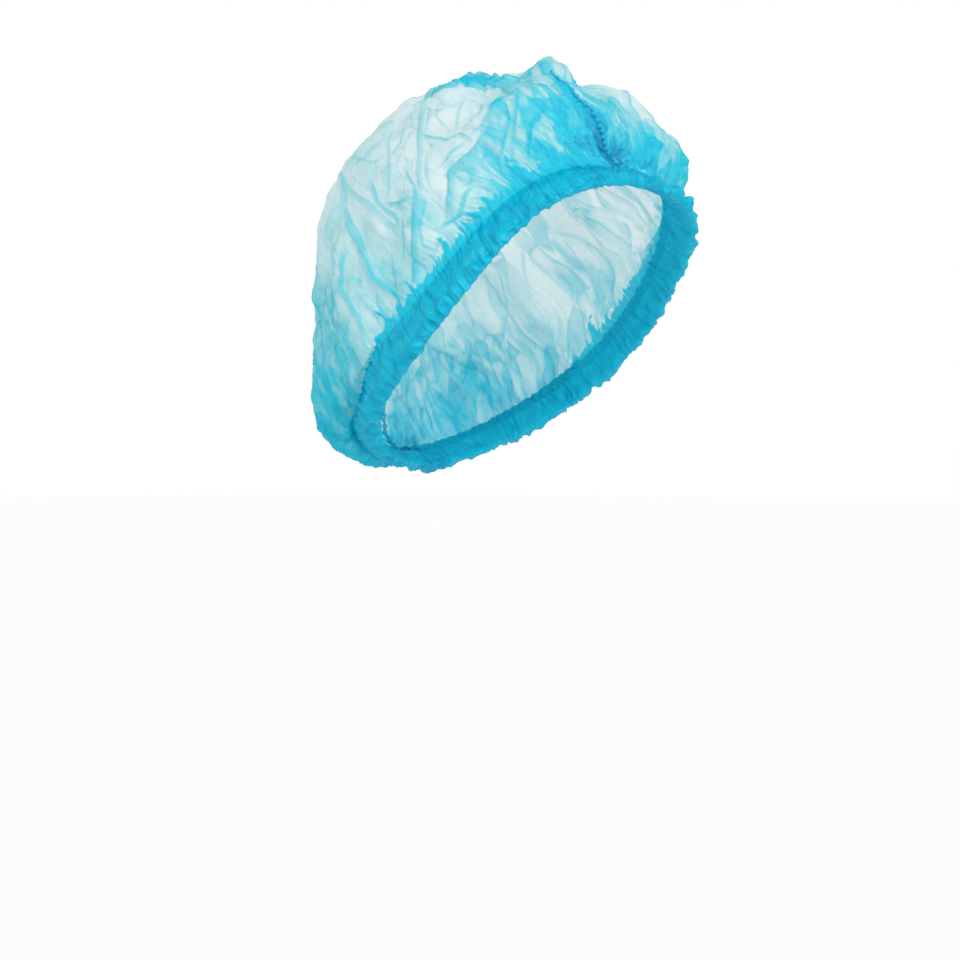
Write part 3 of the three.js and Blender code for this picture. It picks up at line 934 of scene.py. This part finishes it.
def elastic_cloth():
    """Covered elastic: fine ribs across a pale strip."""
    material = bpy.data.materials.new("covered_elastic")
    material.use_nodes = True
    tree = material.node_tree
    surface = tree.nodes["Principled BSDF"]
    place = node(tree, "ShaderNodeTexCoord").outputs["Object"]
    ribs = node(tree, "ShaderNodeTexNoise", {"Vector": place, "Scale": 900.0, "Detail": 2.0})
    colour = ramp(tree, ribs.outputs["Fac"], [(0.3, (0.42, 0.72, 0.8)), (0.7, (0.7, 0.9, 0.94))])
    bump = node(tree, "ShaderNodeBump", {
        "Height": ribs.outputs["Fac"], "Strength": 0.4, "Distance": 0.0004})
    tree.links.new(colour, surface.inputs["Base Color"])
    tree.links.new(bump.outputs["Normal"], surface.inputs["Normal"])
    surface.inputs["Roughness"].default_value = 0.7
    return material


def plain(name, colour, roughness):
    material = bpy.data.materials.new(name)
    material.use_nodes = True
    surface = material.node_tree.nodes["Principled BSDF"]
    surface.inputs["Base Color"].default_value = (*colour, 1)
    surface.inputs["Roughness"].default_value = roughness
    surface.inputs["Specular IOR Level"].default_value = 0.0
    return material


# The camera is level, and stands to the wearer's right of the face.
YAW = math.radians(47)
EYE_AWAY = 1.8
EYE_BELOW_RIM = 0.073
EYE_ASIDE = 0.026  # the cap stands this far right of the picture's middle
LENS = 141.75


def make_camera():
    back = Vector((-math.sin(YAW), -math.cos(YAW), 0))
    right = Vector((math.cos(YAW), -math.sin(YAW), 0))
    data = bpy.data.cameras.new("camera")
    data.lens = LENS
    data.clip_end = 200
    camera = bpy.data.objects.new("camera", data)
    camera.location = back * EYE_AWAY - right * EYE_ASIDE - Vector((0, 0, EYE_BELOW_RIM))
    camera.rotation_euler = back.to_track_quat("Z", "Y").to_euler()
    bpy.context.scene.collection.objects.link(camera)
    bpy.context.scene.camera = camera


FLOOR_HEIGHT = -0.42
KEY_FROM = (-0.4, -0.9, 0.85)
KEY_STRENGTH = 2.0
KEY_SOFTNESS = 40  # how wide the lamp looks from the cap


def make_studio():
    bpy.ops.mesh.primitive_plane_add(size=120, location=(0, 0, FLOOR_HEIGHT))
    floor = bpy.context.object
    floor.name = "floor"
    floor.data.materials.append(plain("pale_floor", (0.97, 0.97, 0.97), 0.9))
    world = bpy.data.worlds.new("studio")
    world.use_nodes = True
    tree = world.node_tree
    way = node(tree, "ShaderNodeTexCoord").outputs["Generated"]
    up = node(tree, "ShaderNodeSeparateXYZ", {0: way}).outputs["Z"]
    walls = ramp(tree, up, [(0.0, (1, 1, 1)), (0.2, (1, 1, 1)), (1.0, (0.3, 0.3, 0.3))])
    tree.links.new(walls, tree.nodes["Background"].inputs["Color"])
    bpy.context.scene.world = world
    data = bpy.data.lights.new("key", "SUN")
    data.energy = KEY_STRENGTH
    data.angle = math.radians(KEY_SOFTNESS)
    lamp = bpy.data.objects.new("key", data)
    lamp.rotation_euler = Vector(KEY_FROM).to_track_quat("Z", "Y").to_euler()
    bpy.context.scene.collection.objects.link(lamp)
    bpy.context.scene.view_settings.view_transform = "Standard"


make_camera()
make_studio()

CYANS = [
    (0.0, (0.93, 0.98, 0.97)),
    (0.04, (0.83, 0.94, 0.93)),
    (0.12, (0.5, 0.81, 0.82)),
    (0.25, (0.19, 0.7, 0.77)),
    (0.42, (0.02, 0.64, 0.78)),
    (0.62, (0.0, 0.59, 0.77)),
    (0.8, (0.0, 0.4, 0.64)),
    (1.0, (0.0, 0.2, 0.45)),
]
WHITE = (1.0, 1.0, 1.0)
# Painted shade: colours multiplied in that darken the valleys and leave the crests white.
CROWN_PAINTED_SHADE = [(0.0, (0.9, 0.94, 0.96)), (1.0, WHITE)]
BAND_PAINTED_SHADE = [(0.0, (0.84, 0.92, 0.96)), (0.35, WHITE), (1.0, WHITE)]
SEAM_PAINTED_SHADE = [(0.0, (0.3, 0.6, 0.8)), (0.3, (0.85, 0.92, 0.97)), (0.6, WHITE)]
SEAM_CYAN = (0.02, 0.6, 0.82)

crown_cloth = nonwoven("crown_nonwoven", CYANS, CROWN_PAINTED_SHADE, opacity=(0.62, 0.97), roughness=0.5)
band_cloth = nonwoven("band_nonwoven", CYANS, BAND_PAINTED_SHADE, opacity=(0.6, 0.99), roughness=0.38)
seam_cyans = [(0.0, SEAM_CYAN), (1.0, SEAM_CYAN)]
seam_cloth = nonwoven("weld_seam", seam_cyans, SEAM_PAINTED_SHADE, opacity=(0.9, 1.0), roughness=0.4)

crowns, crown_at = make_crown(crown_cloth)
for half in crowns:
    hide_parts("crown")
bands = [
    make_band("gathered_band_right", 1, band_cloth),
    make_band("gathered_band_left", -1, band_cloth),
]
for band, standing_for in zip(bands, ("band_right", "band_left")):
    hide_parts(standing_for)
seams = [
    make_seam("ruffled_front_seam", False, FRONT_SEAM_REACH, crown_at, seam_cloth),
    make_seam("ruffled_back_seam", True, BACK_SEAM_REACH, crown_at, seam_cloth),
]
for seam, standing_for in zip(seams, ("front_seam", "back_seam")):
    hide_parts(standing_for)
for piece in crowns + bands + seams:
    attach(piece, "root")
for half, elastic in zip(crowns, ("elastic_right", "elastic_left")):
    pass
strip = elastic_cloth()
for name in ("elastic_right", "elastic_left"):
    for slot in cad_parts[name].material_slots:
        slot.material = strip
